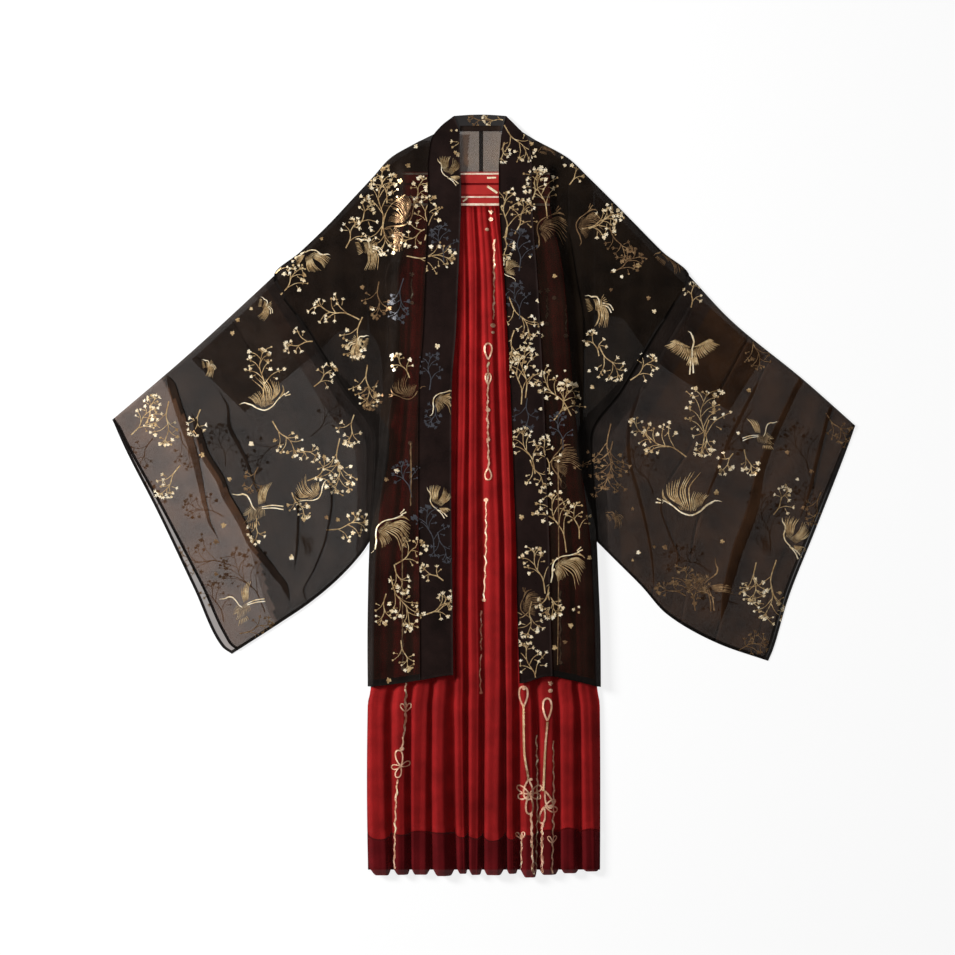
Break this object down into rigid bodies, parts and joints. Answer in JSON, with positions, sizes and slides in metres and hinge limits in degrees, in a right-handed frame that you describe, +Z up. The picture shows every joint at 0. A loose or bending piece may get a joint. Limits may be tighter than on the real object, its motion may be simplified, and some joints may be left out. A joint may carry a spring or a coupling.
{
  "type": "hanfu robe set laid flat",
  "caption": "Sheer black wide-sleeved open robe with gold foil figures, over a long pleated chest-high red skirt and a short black inner top, laid flat face up.",
  "frame": {"origin": "centre of the laid-out set's bounding box, at the height of the surface it lies on", "axes": "+X across the garment from sleeve to sleeve, +Y from the hems up to the neck, +Z up from the surface, out of the garment's front"},
  "size_m": [1.3746, 1.409, 0.0208],
  "materials": {
    "black_chiffon": "sheer black chiffon with gold foil figures, fine even weave, soft sheen",
    "black_inner_chiffon": "plain sheer black chiffon",
    "red_sheer": "sheer wine-red chiffon in soft pleats, with gold foil chains",
    "red_lining": "plain bright red woven cloth, soft satin sheen",
    "gold_braid": "narrow cream and gold braid"
  },
  "bodies": {
    "root": {"robe_back_left": "black_chiffon", "robe_back_right": "black_chiffon", "robe_front_left": "black_chiffon", "robe_front_right": "black_chiffon", "robe_sleeve_left_back": "black_chiffon", "robe_sleeve_left_front": "black_chiffon", "robe_sleeve_right_back": "black_chiffon", "robe_sleeve_right_front": "black_chiffon", "robe_collar_left": "black_chiffon", "robe_collar_right": "black_chiffon", "robe_collar_back": "black_chiffon", "inner_back": "black_inner_chiffon", "inner_front_left": "black_inner_chiffon", "inner_front_right": "black_inner_chiffon", "inner_sleeve_left_back": "black_inner_chiffon", "inner_sleeve_left_front": "black_inner_chiffon", "inner_sleeve_right_back": "black_inner_chiffon", "inner_sleeve_right_front": "black_inner_chiffon", "inner_collar_left": "black_inner_chiffon", "inner_collar_right": "black_inner_chiffon", "inner_collar_back": "black_inner_chiffon", "skirt_front": "red_sheer", "skirt_back": "red_sheer", "skirt_band_front": "red_sheer", "skirt_band_back": "red_sheer", "skirt_front_lining": "red_lining", "skirt_back_lining": "red_lining", "skirt_tie_upper": "red_lining", "skirt_tie_lower": "red_lining", "skirt_braid_top": "gold_braid", "skirt_braid_middle": "gold_braid", "skirt_braid_bottom": "gold_braid"}
  },
  "joints": []
}
